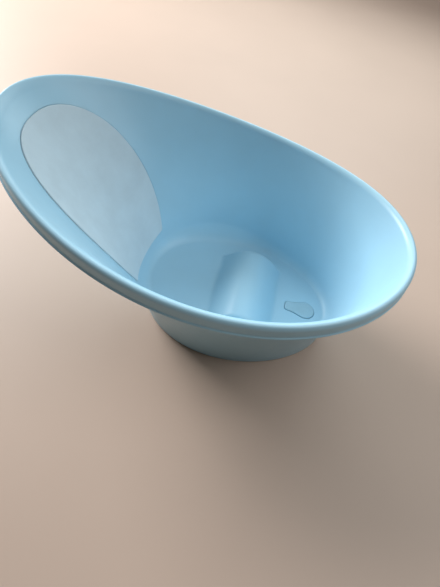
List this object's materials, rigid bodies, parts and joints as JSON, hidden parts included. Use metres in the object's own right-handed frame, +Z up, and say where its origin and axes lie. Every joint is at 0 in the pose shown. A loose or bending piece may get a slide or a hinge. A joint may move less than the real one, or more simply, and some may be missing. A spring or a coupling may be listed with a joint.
{
  "type": "baby bathtub",
  "caption": "Oval moulded baby bath with a high reclined head end, soft backrest pad, seat hump, rolled rim, foot ring and a pull-out drain stopper.",
  "frame": {"origin": "on the ground, under the centre of the rim's bounding box", "axes": "+X towards the foot end and its drain, -X towards the high head end, +Y to the side, +Z up"},
  "size_m": [0.67, 0.474, 0.3322],
  "materials": {
    "shell_plastic": "satin moulded polypropylene, fine texture",
    "pad_foam": "soft matt foam skin",
    "bond_sheet": "matt adhesive film",
    "plug_elastomer": "satin soft elastomer",
    "foot_rubber": "matt rubber"
  },
  "bodies": {
    "bath": {"tub_shell": "shell_plastic", "backrest_pad": "pad_foam", "backrest_adhesive": "bond_sheet", "rubber_foot_head_left": "foot_rubber", "rubber_foot_head_right": "foot_rubber", "rubber_foot_toe_left": "foot_rubber", "rubber_foot_toe_right": "foot_rubber"},
    "plug": {"drain_plug": "plug_elastomer"}
  },
  "joints": [
    {"name": "plug_pull", "type": "slide", "parent": "bath", "child": "plug", "axis": [0, 0, 1], "range_m": [0, 0.03]}
  ]
}
